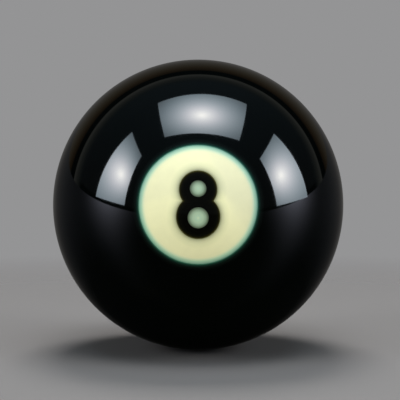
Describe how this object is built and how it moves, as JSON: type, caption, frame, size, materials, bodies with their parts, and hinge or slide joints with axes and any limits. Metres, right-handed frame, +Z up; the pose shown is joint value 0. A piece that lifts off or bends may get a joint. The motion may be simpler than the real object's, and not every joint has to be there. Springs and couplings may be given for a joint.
{
  "type": "pool ball",
  "caption": "Black resin pool ball with the numeral 8 let into a cream disc at each end of one axis.",
  "frame": {"origin": "centre of the ball", "axes": "+Z up through the top of both numerals, Y along the number axis, and the front numeral faces -Y"},
  "size_m": [0.0572, 0.0572, 0.0572],
  "materials": {
    "black_resin": "polished",
    "cream_resin": "polished",
    "numeral_resin": "polished",
    "loop_resin": "polished"
  },
  "bodies": {
    "root": {"ball_body": "black_resin", "front_number_disc": "cream_resin", "front_numeral": "numeral_resin", "front_upper_loop_fill": "loop_resin", "front_lower_loop_fill": "loop_resin", "back_number_disc": "cream_resin", "back_numeral": "numeral_resin", "back_upper_loop_fill": "loop_resin", "back_lower_loop_fill": "loop_resin"}
  },
  "joints": []
}
